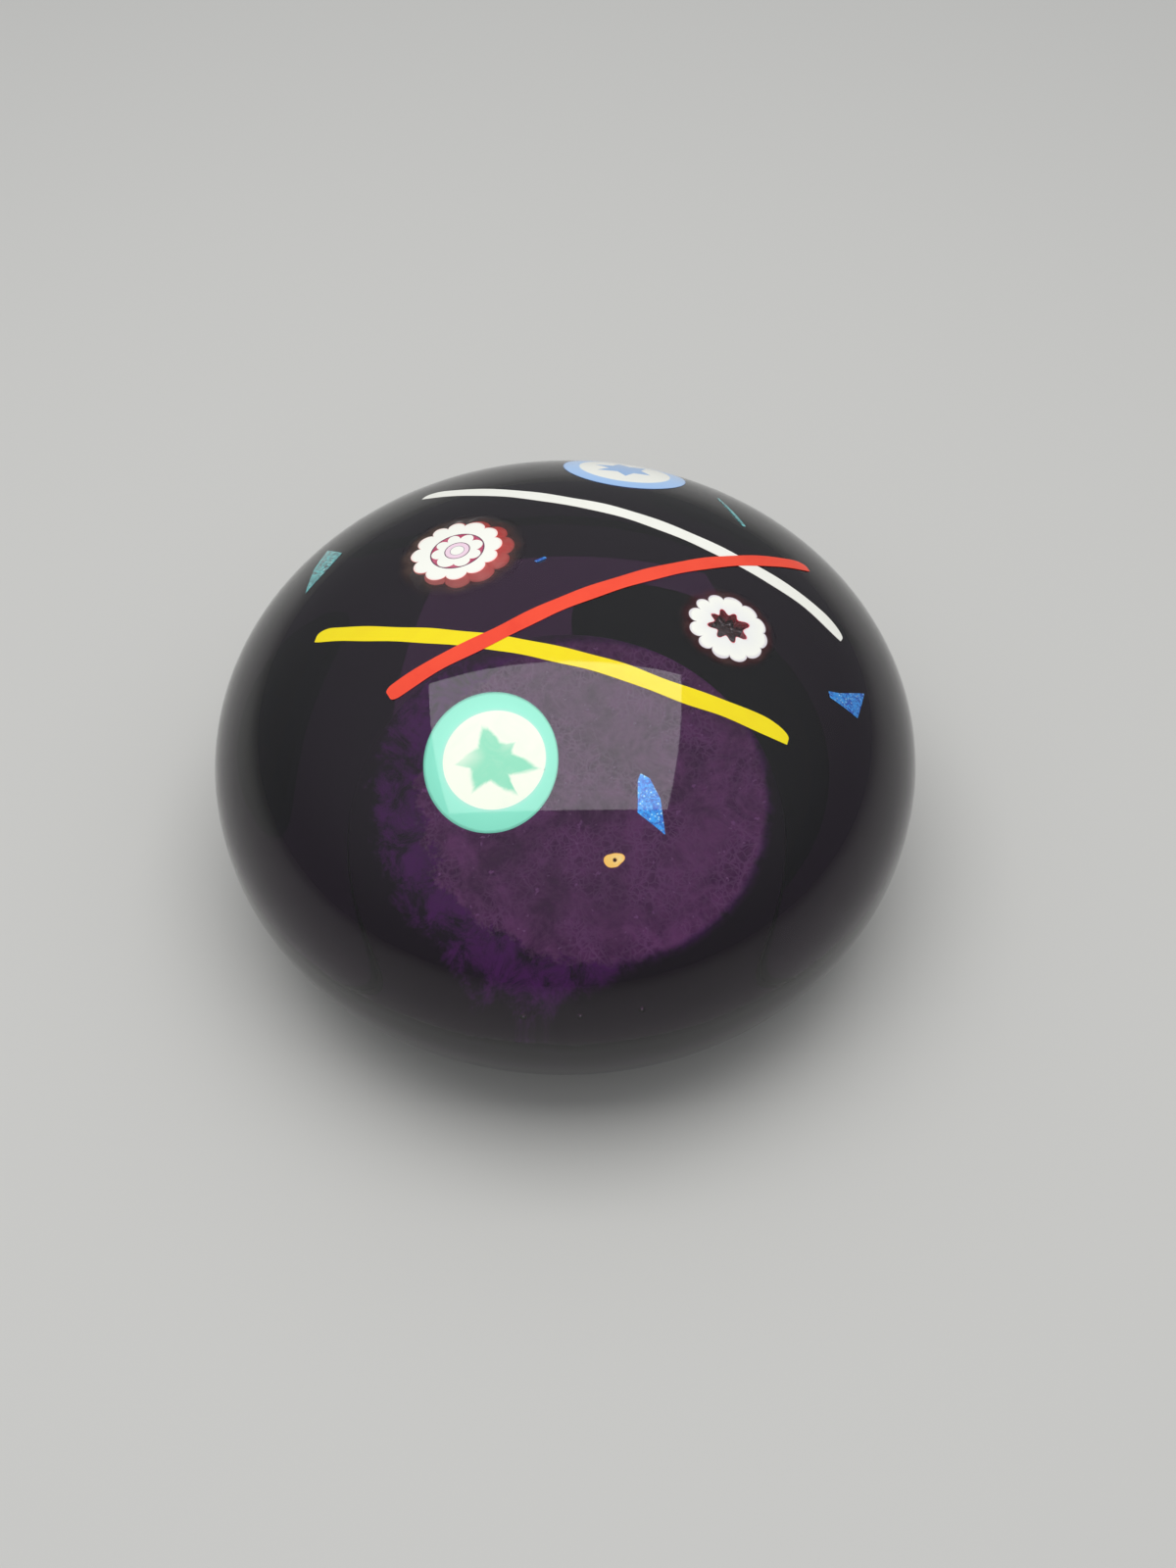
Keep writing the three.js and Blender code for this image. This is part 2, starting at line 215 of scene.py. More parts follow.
def new_piece(name, vertices, faces, material, node=None, attributes=None, sharp=()):
    """A finished piece: a mesh that rides on the body, in place of its CAD node."""
    mesh = bpy.data.meshes.new(name)
    mesh.from_pydata([tuple(v) for v in vertices], [], [tuple(f) for f in faces])
    mesh.validate()
    mesh.shade_smooth()
    for key, values in (attributes or {}).items():
        mesh.attributes.new(key, "FLOAT", "POINT").data.foreach_set("value", np.asarray(values, np.float32))
    if sharp:
        wanted = {tuple(sorted(edge)) for edge in sharp}
        flags = [tuple(sorted(edge.vertices)) in wanted for edge in mesh.edges]
        mesh.attributes.new("sharp_edge", "BOOLEAN", "EDGE").data.foreach_set("value", flags)
    mesh.materials.append(material)
    piece = bpy.data.objects.new(f"{name}_look", mesh)
    bpy.context.scene.collection.objects.link(piece)
    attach(piece, ROOT)
    if node:
        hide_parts(node)
    return piece


def ring_faces(lower, upper):
    """Faces between two closed rings of vertex numbers, facing out when upper is outside or above lower."""
    turned = np.roll(lower, -1), np.roll(upper, -1)
    return list(zip(lower, turned[0], turned[1], upper))


def ring_edges(ring):
    return list(zip(ring, np.roll(ring, -1)))


def inlay_piece(name, seat, inner, outer, depth, material, slot, foot=1.0, sink=None, paint=None,
                across=ACROSS, inner_foot=None):
    """A layer of an inlay, from the outline inner (or None) out to outer, whose top is flush with the dome.

    foot is the size of its foot beside its top, and inner_foot is the same for its inner wall, if it differs.
    sink(share, outline) is how far the top lies below the dome, in mm, at a share of the way from inner to
    outer. paint gives attributes for the material, each from the share and the outline there. The attribute
    "top" is 1 on the top and 0 below it.
    """
    middle = outer.mean(0)
    start = np.repeat(middle[None], len(outer), 0) if inner is None else inner
    paint = paint or {}
    vertices, rings, faces = [], [], []
    attributes = {key: [] for key in (*paint, "top")}

    def add_ring(points, share, outline, on_top=False):
        rings.append(np.arange(AROUND) + len(vertices))
        vertices.extend(points)
        attributes["top"].extend(np.full(AROUND, float(on_top)))
        for key, values in paint.items():
            attributes[key].extend(np.broadcast_to(values(share, outline), AROUND))
        if len(rings) > 1:
            faces.extend(ring_faces(rings[-1], rings[-2]))
        return rings[-1]

    def top(outline, share):
        points = onto_dome(seat.flat(outline * MM), seat.up, PROUD)
        if sink:
            points = points - np.broadcast_to(sink(share, outline), AROUND)[:, None] * MM * seat.up
        return points

    def wall(outline, share, part):
        level = (top(outline, share) - seat.origin) @ seat.up
        goal = level * (1 - part) - depth * part
        size = foot if share or not inner_foot else inner_foot
        return seat.flat(outline * MM * (1 + (size - 1) * part)) + goal[:, None] * seat.up

    for share in np.linspace(0, 1, across + 1)[1 if inner is None else 0:]:
        outline = between(start, outer, share)
        rim = add_ring(top(outline, share), share, outline, on_top=True)
    for part in WALL_PARTS:
        lowest = add_ring(wall(outer, 1.0, part), 1.0, outer)
    sharp = ring_edges(rim) + ring_edges(lowest)
    if inner is None:
        for ring, part, point in ((rings[0], 0, top(start, 0.0)[0]), (lowest, 1, wall(start, 0.0, 1.0)[0])):
            vertices.append(point)
            attributes["top"].append(1.0 - part)
            for key, values in paint.items():
                attributes[key].append(np.broadcast_to(values(0.0, start), AROUND)[0])
            hub = len(vertices) - 1
            faces.extend((hub, a, b) if part == 0 else (hub, b, a) for a, b in ring_edges(ring))
    else:
        inner_rim = rings[0]
        for part in WALL_PARTS[::-1]:
            ring = add_ring(wall(start, 0.0, part), 0.0, start)
            if part == 1:
                sharp += ring_edges(ring)
        faces.extend(ring_faces(inner_rim, rings[-1]))
        sharp += ring_edges(inner_rim)
    return new_piece(name, vertices, faces, material, name, attributes, sharp)


def well_piece(name, seat, outline, depth, material):
    """A cup under the dome's surface, open at the top. Its attribute "shade" runs from rim to floor."""
    vertices, rings, faces, shades = [], [], [], []

    def add_ring(scale, down, shade):
        rings.append(np.arange(AROUND) + len(vertices))
        flat = seat.flat(outline * scale * MM)
        surface = onto_dome(flat, seat.up, PROUD)
        level = np.where(down > 0, -down, (surface - seat.origin) @ seat.up)
        vertices.extend(flat + level[:, None] * seat.up)
        shades.extend(np.full(AROUND, shade))
        if len(rings) > 1:
            faces.extend(ring_faces(rings[-2], rings[-1]))
        return rings[-1]

    for part in (1.0, 0.66, 0.33):
        add_ring(1.0, depth * part + WELL_FLOOR, 0.0)
    outer_rim = add_ring(1.0, 0.0, 0.0)
    inner_rim = add_ring(WELL_RIM, 0.0, 0.0)
    for part in (0.12, 0.3, 0.5, 0.7, 0.85, 1.0):
        add_ring(WELL_INSIDE, depth * part, part)
    for scale in (0.7, 0.45, 0.2):
        add_ring(scale, depth, 1.0)
    for ring, down in ((rings[-1], depth), (rings[0], depth + WELL_FLOOR)):
        vertices.append(seat.origin - down * seat.up)
        shades.append(1.0)
        hub = len(vertices) - 1
        faces.extend((hub, a, b) if ring is rings[-1] else (hub, b, a) for a, b in ring_edges(ring))
    sharp = ring_edges(outer_rim) + ring_edges(inner_rim)
    return new_piece(name, vertices, faces, material, name, {"shade": shades}, sharp)


# ------------------------------------------------------------------ materials

def rgb(r, g, b):
    """An sRGB colour, 0 to 255, as the linear colour that shaders take."""
    def linear(v):
        v /= 255
        return v / 12.92 if v <= 0.04045 else ((v + 0.055) / 1.055) ** 2.4
    return (linear(r), linear(g), linear(b), 1.0)


BLACK_PURPLE = rgb(14, 8, 20)
STAR_TEAL = rgb(132, 222, 184)
CREAM_COLOR = rgb(247, 251, 232)
WHITE_COLOR = rgb(252, 252, 242)
THIN_LINE = rgb(100, 60, 85)


class Nodes:
    """A material's node tree, with its shader node and short ways to add and join nodes."""

    def __init__(self, name, color, roughness, **inputs):
        self.material = bpy.data.materials.new(name)
        self.material.use_nodes = True
        self.tree = self.material.node_tree
        self.shader = self.tree.nodes["Principled BSDF"]
        self.shader.inputs["Base Color"].default_value = color
        self.shader.inputs["Roughness"].default_value = roughness
        for key, value in inputs.items():
            self.shader.inputs[key.replace("_", " ")].default_value = value

    def add(self, kind, **settings):
        node = self.tree.nodes.new("ShaderNode" + kind)
        for key, value in settings.items():
            if hasattr(node, key):
                setattr(node, key, value)
            else:
                node.inputs[key.replace("_", " ")].default_value = value
        return node

    def link(self, source, target):
        self.tree.links.new(source, target)

    def noise(self, scale, detail=3.0, roughness=0.5, distortion=0.0):
        node = self.add("TexNoise", Scale=scale, Detail=detail, Roughness=roughness, Distortion=distortion)
        self.link(self.place(), node.inputs["Vector"])
        return node.outputs["Fac"]

    def place(self):
        return self.add("TexCoord").outputs["Object"]

    def attribute(self, name):
        return self.add("Attribute", attribute_name=name).outputs["Fac"]

    def ramp(self, source, *stops):
        """A colour ramp: stops are (position, colour)."""
        node = self.add("ValToRGB")
        elements = node.color_ramp.elements
        while len(elements) < len(stops):
            elements.new(0.5)
        for element, (position, color) in zip(elements, stops):
            element.position = position
            element.color = color
        self.link(source, node.inputs["Fac"])
        return node.outputs["Color"]

    def mix(self, factor, first, second):
        """Two colours mixed by a factor: each is a socket or a colour."""
        node = self.add("Mix", data_type="RGBA")
        for source, socket in ((factor, node.inputs[0]), (first, node.inputs[6]), (second, node.inputs[7])):
            if isinstance(source, bpy.types.NodeSocket):
                self.link(source, socket)
            else:
                socket.default_value = source
        return node.outputs[2]

    def maths(self, operation, *sources):
        node = self.add("Math", operation=operation)
        for source, socket in zip(sources, node.inputs):
            if isinstance(source, bpy.types.NodeSocket):
                self.link(source, socket)
            else:
                socket.default_value = source
        return node.outputs[0]

    def range(self, source, low, high, to_low=0.0, to_high=1.0):
        node = self.add("MapRange", interpolation_type="SMOOTHSTEP")
        for value, index in ((low, 1), (high, 2), (to_low, 3), (to_high, 4)):
            node.inputs[index].default_value = value
        self.link(source, node.inputs[0])
        return node.outputs[0]

    def bump(self, height, distance_mm, strength=1.0):
        node = self.add("Bump", Strength=strength, Distance=distance_mm * MM)
        self.link(height, node.inputs["Height"])
        self.link(node.outputs["Normal"], self.shader.inputs["Normal"])

    def color(self, source):
        self.link(source, self.shader.inputs["Base Color"])

    def roughness(self, source):
        self.link(source, self.shader.inputs["Roughness"])


def purple_glass():
    """Dark purple glass, clear above the widest level. The wall that curls in below it is made opaque and
    nearly black: painted shade, standing in for the shadowed floor that would show through it.
    """
    m = Nodes("purple_glass", (1, 1, 1, 1), 0.0, Transmission_Weight=1.0, IOR=1.5)
    along = m.add("SeparateXYZ")
    m.link(m.place(), along.inputs[0])
    wander = m.maths("MULTIPLY_ADD", m.noise(110, 3, 0.6, 0.8), 1 * MM, -0.5 * MM)
    clear = m.range(m.maths("ADD", along.outputs["Z"], wander), 0.85 * WIDEST_LEVEL, 1.1 * WIDEST_LEVEL)
    m.link(clear, m.shader.inputs["Transmission Weight"])
    # painted shade: the opaque lower wall is coloured nearly black in place of the shadow seen through the
    # glass
    wall = m.mix(m.range(m.noise(200, 5, 0.65, 0.5), 0.35, 0.75), BLACK_PURPLE, rgb(24, 12, 32))
    m.color(m.mix(m.range(clear, 0.95, 1.0), wall, (1, 1, 1, 1)))
    m.roughness(m.range(m.noise(900, 4), 0.5, 0.8, 0.0, 0.03))
    volume = m.add("VolumeAbsorption", Color=(0.52, 0.15, 0.54, 1), Density=40.0)
    m.link(volume.outputs[0], m.tree.nodes["Material Output"].inputs["Volume"])
    return m.material


def ground_glass():
    """The ground glass of the base: a pale purple frost, cloudy and finely crazed, with a ragged front left
    edge. Beyond that edge it is a deep violet, and then nearly black."""
    m = Nodes("ground_glass", rgb(200, 190, 205), 0.6)
    along = m.add("SeparateXYZ")
    m.link(m.place(), along.inputs[0])
    across = [m.maths("SUBTRACT", along.outputs[axis], middle) for axis, middle in zip("XY", FROST_MIDDLE)]
    beside = m.maths("SQRT", m.maths("ADD", *(m.maths("POWER", side, 2.0) for side in across)))
    leftward = m.maths("ADD", m.maths("MULTIPLY", across[0], -0.95), m.maths("MULTIPLY", across[1], -0.31))
    to_front_left = m.range(leftward, 0.0, 0.85 * FROST_RADIUS)
    broad = m.maths("MULTIPLY_ADD", m.noise(230, 6, 0.7, 0.6), 5 * MM, -2.5 * MM)
    fine = m.maths("MULTIPLY_ADD", m.noise(900, 4, 0.7, 0.5), 2 * MM, -1 * MM)
    raggedness = m.maths("MULTIPLY_ADD", to_front_left, 0.85, 0.15)
    edge = m.maths("ADD", beside, m.maths("MULTIPLY", m.maths("ADD", broad, fine), raggedness))
    frosted = m.range(edge, FROST_RADIUS - 0.3 * MM, FROST_RADIUS + 0.4 * MM, 1.0, 0.0)
    violet_radius = m.maths("MULTIPLY_ADD", to_front_left, VIOLET_WIDTH, FROST_RADIUS)
    violet = m.range(m.maths("SUBTRACT", edge, violet_radius), -0.6 * MM, 1 * MM, 1.0, 0.0)

    bent = m.add("Mix", data_type="VECTOR")  # bends the cracks a little
    bent.inputs[0].default_value = 0.0012
    m.link(m.place(), bent.inputs[4])
    swirl = m.add("TexNoise", Scale=600.0, Detail=4.0)
    m.link(m.place(), swirl.inputs["Vector"])
    m.link(swirl.outputs["Color"], bent.inputs[5])

    def cracks(scale, width, level):
        cells = m.add("TexVoronoi", Scale=scale, feature="DISTANCE_TO_EDGE")
        m.link(bent.outputs[1], cells.inputs["Vector"])
        return m.range(cells.outputs["Distance"], 0.0, width, level, 0.0)

    crazing = m.maths("MAXIMUM", cracks(750.0, 0.1, 0.5), cracks(1600.0, 0.14, 0.45))
    patchy = m.maths("MULTIPLY", crazing, m.range(m.noise(190, 3), 0.34, 0.66))
    specks = m.range(m.noise(1300, 2, 0.5), 0.66, 0.74)
    clouds = m.mix(m.range(m.noise(260, 8, 0.72, 0.5), 0.34, 0.68), rgb(128, 100, 128), rgb(236, 216, 228))
    frost = m.mix(m.range(m.noise(75, 4, 0.6), 0.35, 0.65, 0.0, 0.45), clouds, rgb(170, 140, 166))
    frost = m.mix(m.maths("MAXIMUM", patchy, specks), frost, rgb(255, 250, 253))
    clots = m.mix(m.range(m.noise(380, 6, 0.7, 0.5), 0.35, 0.6), rgb(40, 14, 52), rgb(160, 76, 182))
    m.color(m.mix(frosted, m.mix(violet, BLACK_PURPLE, clots), frost))
    m.roughness(m.range(frosted, 0.0, 1.0, 0.3, 0.6))
    m.bump(m.noise(2500, 2), 0.01, 0.5)
    return m.material


def opaque_glass(name, color, streak, streak_share=0.5, scale=220.0):
    """Opaque coloured glass, softly streaked with a second colour."""
    m = Nodes(name, color, 0.04)
    streaks = m.range(m.noise(scale, 4, 0.6, 0.8), 0.35, 0.75, 0.0, streak_share)
    m.color(m.mix(streaks, color, streak))
    m.roughness(m.range(m.noise(700, 3), 0.5, 0.8, 0.03, 0.09))
    return m.material


def layered_glass(name, *stops, wander=0.1, scale=500.0):
    """Opaque glass whose colour follows the attribute shade through stops of (shade, colour)."""
    m = Nodes(name, stops[0][1], 0.04)
    shift = m.maths("MULTIPLY_ADD", m.noise(scale, 4, 0.55, 1.0), 2 * wander, -wander)
    m.color(m.ramp(m.maths("ADD", m.attribute("shade"), shift), *stops))
    m.roughness(m.range(m.noise(700, 3), 0.5, 0.8, 0.03, 0.09))
    return m.material


def pale_teal_glass():
    """The teal star, which fades into the cream at its border and where the attribute faint is 1."""
    m = Nodes("pale_teal_glass", STAR_TEAL, 0.04)
    shift = m.maths("MULTIPLY_ADD", m.noise(700, 4, 0.6, 1.2), 0.2, -0.1)
    border = m.range(m.maths("ADD", m.attribute("shade"), shift), 0.72, 0.97, 0.0, 1.0)
    washed = m.maths("MULTIPLY", m.attribute("faint"), 0.75)
    cloudy = m.range(m.noise(420, 4, 0.6, 0.8), 0.45, 0.8, 0.0, 0.15)
    m.color(m.mix(m.maths("MAXIMUM", m.maths("MAXIMUM", border, washed), cloudy), STAR_TEAL, CREAM_COLOR))
    m.roughness(m.range(m.noise(700, 3), 0.5, 0.8, 0.03, 0.09))
    return m.material


def red_glass():
    """The flower's red coat, paler and pinker where the attribute pink is 1, which is painted light on its
    lower left side, and darker at its outer edge, which is painted shade where its top falls away under the
    glass.
    """
    m = Nodes("red_glass", rgb(255, 110, 98), 0.04)
    # painted light: the coat is paler and pinker towards its lower left side
    hue = m.mix(m.attribute("pink"), rgb(255, 82, 74), rgb(250, 140, 136))
    clouds = m.mix(m.range(m.noise(600, 4, 0.6, 0.8), 0.35, 0.75, 0.0, 0.4), hue, rgb(255, 160, 146))
    shift = m.maths("MULTIPLY_ADD", m.noise(900, 3), 0.3, -0.15)
    # painted shade: the coat darkens towards its outer edge, where it sinks under the glass
    painted_edge_shade = m.range(m.maths("ADD", m.attribute("shade"), shift), 0.7, 1.1, 0.0, 0.4)
    m.color(m.mix(painted_edge_shade, clouds, rgb(170, 50, 56)))
    m.roughness(m.range(m.noise(700, 3), 0.5, 0.8, 0.03, 0.09))
    return m.material


def rose_glass():
    """The rose field between the flower's inner petals, with a thin dark line round its rim."""
    m = Nodes("rose_glass", rgb(180, 60, 95), 0.04)
    clouds = m.mix(m.range(m.noise(900, 3, 0.6, 0.8), 0.35, 0.7), rgb(180, 60, 95), rgb(205, 105, 130))
    line = m.range(m.attribute("to_rim"), 0.1, 0.18, 1.0, 0.0)
    m.color(m.mix(line, clouds, THIN_LINE))
    m.roughness(m.range(m.noise(700, 3), 0.5, 0.8, 0.03, 0.09))
    return m.material


def thin_clear_glass(name, color, strongest, fade_from, fade_to):
    """A tinted clear casing, which fades into the glass about it along the attribute shade."""
    m = Nodes(name, color, 0.04)
    shift = m.maths("MULTIPLY_ADD", m.noise(450, 3, 0.6, 0.6), 0.3, -0.15)
    fade = m.range(m.maths("ADD", m.attribute("shade"), shift), fade_from, fade_to, strongest, 0.0)
    m.color(m.mix(m.range(m.noise(800, 3, 0.6), 0.4, 0.7, 0.0, 0.4), color, rgb(120, 96, 88)))
    m.link(m.maths("MULTIPLY", fade, m.attribute("top")), m.shader.inputs["Alpha"])
    return m.material


def dark_red_glass():
    """The daisy's cup: red walls, glossy and glinting from a fine bump, with pale pink glints also painted
    into their colour, which darken down to a nearly black floor.
    """
    m = Nodes("dark_red_glass", rgb(120, 40, 55), 0.1, Coat_Weight=1.0, Coat_Roughness=0.03)
    cells = m.add("TexVoronoi", Scale=2400.0)
    m.link(m.place(), cells.inputs["Vector"])
    # painted highlight: the palest pink patches of the walls' colour are painted glints
    red_with_painted_glints = m.ramp(m.noise(700, 5, 0.7, 1.2), (0.36, rgb(205, 22, 50)), (0.52, rgb(250, 56, 84)),
                     (0.66, rgb(255, 180, 190)))
    shift = m.maths("MULTIPLY_ADD", m.noise(600, 3), 0.4, -0.2)
    deep = m.range(m.maths("ADD", m.attribute("shade"), shift), 0.55, 0.95)
    m.color(m.mix(deep, red_with_painted_glints, rgb(66, 50, 48)))
    m.roughness(m.range(m.noise(900, 4), 0.35, 0.7, 0.08, 0.4))
    m.bump(cells.outputs["Distance"], 0.06, 0.7)
    return m.material


def dichroic_glass(name, dark, bright, painted_glint_color):
    """A chip of glass with a crinkled metallic coating that glints, and with bright glints also painted into
    its colour as specks.
    """
    m = Nodes(name, dark, 0.25, Metallic=0.35, Coat_Weight=1.0, Coat_Roughness=0.02)
    cells = m.add("TexVoronoi", Scale=3000.0, Randomness=1.0)
    m.link(m.place(), cells.inputs["Vector"])
    crinkle = m.noise(1700, 5, 0.75, 1.5)
    foil = m.mix(m.range(crinkle, 0.4, 0.58), dark, bright)
    # painted highlight: bright glint specks mixed into the base colour
    glints = m.maths("MULTIPLY", m.range(cells.outputs["Distance"], 0.1, 0.4, 1.0, 0.0),
                     m.range(m.noise(1100, 3, 0.6), 0.42, 0.58))
    m.color(m.mix(glints, foil, painted_glint_color))
    m.roughness(m.range(crinkle, 0.3, 0.7, 0.15, 0.5))
    m.bump(crinkle, 0.1, 0.8)
    return m.material


def orange_glass():
    """The frit: warm orange, with a paler rim and a dark pit."""
    m = Nodes("orange_glass", rgb(255, 208, 118), 0.05)
    clouds = m.mix(m.range(m.noise(900, 4, 0.6, 1.0), 0.35, 0.7), rgb(255, 204, 104), rgb(255, 222, 150))
    rim = m.mix(m.range(m.attribute("shade"), 0.82, 0.98), clouds, rgb(255, 190, 96))
    m.color(m.mix(m.range(m.attribute("pit"), 0.2, 0.7), rim, rgb(110, 62, 30)))
    return m.material


# ------------------------------------------------------------------ the body

def lathe(profile, around):
    """Vertices, faces and rings of a closed surface of revolution. The profile of (radius, height) starts
    next to the axis at the bottom and ends next to it at the top."""
    turn = np.arange(around) * 2 * math.pi / around
    vertices, rings, faces = [], [], []
    for radius, height in profile:
        rings.append(np.arange(around) + len(vertices))
        vertices.extend(np.stack([radius * np.cos(turn), radius * np.sin(turn), np.full(around, height)], -1))
        if len(rings) > 1:
            faces += ring_faces(rings[-2], rings[-1])
    for ring, height in ((rings[0], profile[0][1]), (rings[-1], profile[-1][1])):
        vertices.append(np.array([0, 0, height]))
        hub = len(vertices) - 1
        faces += [(hub, b, a) if ring is rings[0] else (hub, a, b) for a, b in ring_edges(ring)]
    return vertices, faces, rings


def underside(radius):
    """Height of the body's underside: flat, then curling up to the widest level."""
    def fall(r):
        return (1 - (r / DOME_RADIUS) ** LOWER_FULLNESS) ** (1 / LOWER_FULLNESS)
    return WIDEST_LEVEL * (1 - fall(max(radius, BASE_RADIUS)) / fall(BASE_RADIUS))


def lower_profile(steps):
    """(radius, height) from the edge of the flat base up to just below the widest level."""
    lowest = math.acos((BASE_RADIUS / DOME_RADIUS) ** (LOWER_FULLNESS / 2))
    angles = lowest * (1 - np.arange(steps) / steps) ** 1.5
    return [(radius, underside(radius)) for radius in DOME_RADIUS * np.cos(angles) ** (2 / LOWER_FULLNESS)]


SEED_BUBBLES = [  # middle in mm and radius in mm
    ((-4.6, -37.9, 22.2), 0.36), ((1.0, -38.1, 22.4), 0.3), ((7.1, -37.3, 22.3), 0.34),
]


def add_body():
    """The dome, with seed bubbles near its front rim."""
    lower = [(radius, max(height, BASE_LIFT)) for radius, height in lower_profile(72)]
    upper = [(DOME_RADIUS * math.cos(t), WIDEST_LEVEL + HALF_HEIGHT * math.sin(t))
             for t in np.linspace(0, math.pi / 2, 120, endpoint=False)]
    inner = [(lower[0][0] * share, BASE_LIFT) for share in (0.25, 0.5, 0.75)]
    vertices, faces, rings = lathe(inner + lower + upper, AROUND)
    sharp = ring_edges(rings[len(inner)])
    for middle, radius in SEED_BUBBLES:
        heights = -np.cos(np.linspace(0, math.pi, 16))[1:-1]
        bubble = [(radius * MM * math.sqrt(1 - h * h), radius * MM * h) for h in heights]
        points, sides, _ = lathe(bubble, 20)
        sides = [tuple(len(vertices) + k for k in reversed(face)) for face in sides]
        vertices += [point + np.array(middle) * MM for point in points]
        faces += sides
    new_piece("glass_body_dome", vertices, faces, PURPLE, "glass_body", sharp=sharp)


def add_ground_base():
    """The ground glass under the body: a thin dish whose frosted part shows through the dome."""
    radii = np.linspace(0, GROUND_EDGE, 41)[1:]
    below = [(radius, max(underside(radius) - GROUND_SKIN, 0)) for radius in radii]
    above = [(radius, underside(radius) + 2 * BASE_LIFT) for radius in radii[::-1]]
    vertices, faces, rings = lathe(below + above, AROUND)
    sharp = ring_edges(rings[len(below) - 1]) + ring_edges(rings[len(below)])
    new_piece("ground_base", vertices, faces, GROUND, sharp=sharp)


# ------------------------------------------------------------------ cane slices

TEAL_STAR_CORNERS = [  # the soft pinwheel star, in mm on its seat, counter-clockwise
    (4.5, -1.2), (3.2, -0.1), (1.95, 0.5), (1.9, 0.9), (2.2, 1.7), (1.3, 1.6), (0.7, 1.9), (0.1, 2.8),
    (-0.5, 3.45), (-1.15, 3.75), (-1.4, 2.6), (-1.6, 1.5), (-3.0, 0.45), (-3.95, -0.15), (-3.2, -0.4),
    (-2.5, -0.7), (-2.4, -1.9), (-2.2, -3.1), (-1.4, -2.6), (-0.35, -2.2), (0.9, -3.2), (2.3, -3.75),
    (1.75, -2.6), (1.5, -1.7), (3.0, -1.6),
]


def share_only(share, outline):
    return share


def add_teal_star_slice():
    seat = seat_of("teal_star_core")
    coat = polar(leaning(7.05, 0.42, 195)(ANGLES) + 0.28 * np.cos(2 * ANGLES + math.pi), (0, 0.12))
    field = circle(5.15, (0, 0.1))
    blurred = from_corners(TEAL_STAR_CORNERS) * SOFT_EDGE

    def faint(share, outline):
        angle = np.arctan2(outline[:, 1], outline[:, 0])
        left = np.exp(-((np.angle(np.exp(1j * (angle - math.radians(165)))) / 0.5) ** 2))
        upper_right = np.exp(-((np.angle(np.exp(1j * (angle - math.radians(47)))) / 0.3) ** 2))
        return np.clip(left + 0.8 * upper_right, 0, 1) * np.clip(np.hypot(*outline.T) / 2.5 - 0.3, 0, 1)

    shade = {"shade": share_only}
    place = {"depth": SLICE_DEPTH, "foot": SLICE_FOOT}
    inlay_piece("teal_star_coat", seat, field, coat, material=TEAL, slot="teal_glass", paint=shade, **place)
    inlay_piece("teal_star_field", seat, blurred, field, material=CREAM, slot="cream_glass", paint=shade,
                **place)
    inlay_piece("teal_star_core", seat, None, blurred, material=TEAL_STAR, slot="pale_teal_glass",
                paint={"shade": share_only, "faint": faint}, across=24, **place)


def add_blue_star_slice():
    seat = seat_of("blue_star_core")
    tips = [(46, 4.0), (97, 3.7), (156, 3.7), (203, 3.6), (267, 3.2), (334, 3.2)]
    notches = [(12, 2.0), (72, 2.2), (127, 2.1), (180, 1.9), (236, 1.8), (300, 1.8)]
    coat, field, core = circle(7.2), circle(5.3), from_tips(tips, notches)
    place = {"depth": SLICE_DEPTH, "foot": SLICE_FOOT, "paint": {"shade": share_only}}
    inlay_piece("blue_star_coat", seat, field, coat, material=BLUE, slot="blue_glass", **place)
    inlay_piece("blue_star_field", seat, core, field, material=WHITE, slot="white_glass", **place)
    inlay_piece("blue_star_core", seat, None, core, material=PALE_BLUE, slot="pale_blue_glass", **place)


def add_flower_slice():
    """The red coat's top falls away from the petals, widest on the right, where most of it shows."""
    seat = seat_of("flower_eye")
    notches = [20, 50, 82, 106, 129, 159, 189, 220, 255, 287, 319, 348]
    petal_edge = uneven_petals(notches, leaning(5.05, 0.3, 125), leaning(0.75, 0.1, 180), 0.6)
    red_width = np.maximum(leaning(0.55, 0.72, -22)(ANGLES), 0.04)
    red_edge = petal_edge + polar(red_width)
    inner_notches = [41, 83, 122, 160, 205, 263, 310, 352]
    inner_petals = uneven_petals(inner_notches, leaning(2.86, 0, 0), leaning(0.72, 0.1, 90), 0.65)
    rim_radius = 3.0
    rim, collar, eye = circle(rim_radius), circle(1.42), circle(0.74)
    clear_edge = polar(leaning(7.15, 0.6, -50)(ANGLES))
    lowest = 0.75 * np.clip(red_width / 0.8, 0, 1)

    def fall(share, outline):
        return lowest * share

    def rise(share, outline):
        return lowest * (1 - share) ** 2

    def to_rim(share, outline):
        return rim_radius - np.hypot(*outline.T)

    # painted light: 1 on the lower left side of the red coat, which is painted paler and pinker there
    def painted_light_side(share, outline):
        return leaning(0.5, 0.5, 225)(ANGLES)

    shade = {"shade": share_only}
    place = {"depth": FLOWER_DEPTH, "foot": FLOWER_FOOT}
    inlay_piece("flower_clear_coat", seat, red_edge, clear_edge, material=BROWN_CLEAR,
                slot="smoky_clear_glass", sink=rise, paint=shade, **place)
    inlay_piece("flower_red_coat", seat, petal_edge, red_edge, material=RED, slot="red_glass", sink=fall,
                paint={"shade": share_only, "pink": painted_light_side}, **place)
    inlay_piece("flower_petals", seat, rim, petal_edge, material=PETAL, slot="white_glass", paint=shade,
                **place)
    inlay_piece("flower_rose_field", seat, inner_petals, rim, material=ROSE, slot="rose_glass",
                paint={"to_rim": to_rim}, **place)
    inlay_piece("flower_inner_petals", seat, collar, inner_petals, material=WHITE, slot="white_glass",
                paint=shade, **place)
    inlay_piece("flower_pink_ring", seat, eye, collar, material=PINK, slot="pink_glass", paint=shade, **place)
    inlay_piece("flower_eye", seat, None, eye, material=WHITE, slot="white_glass", paint=shade, **place)


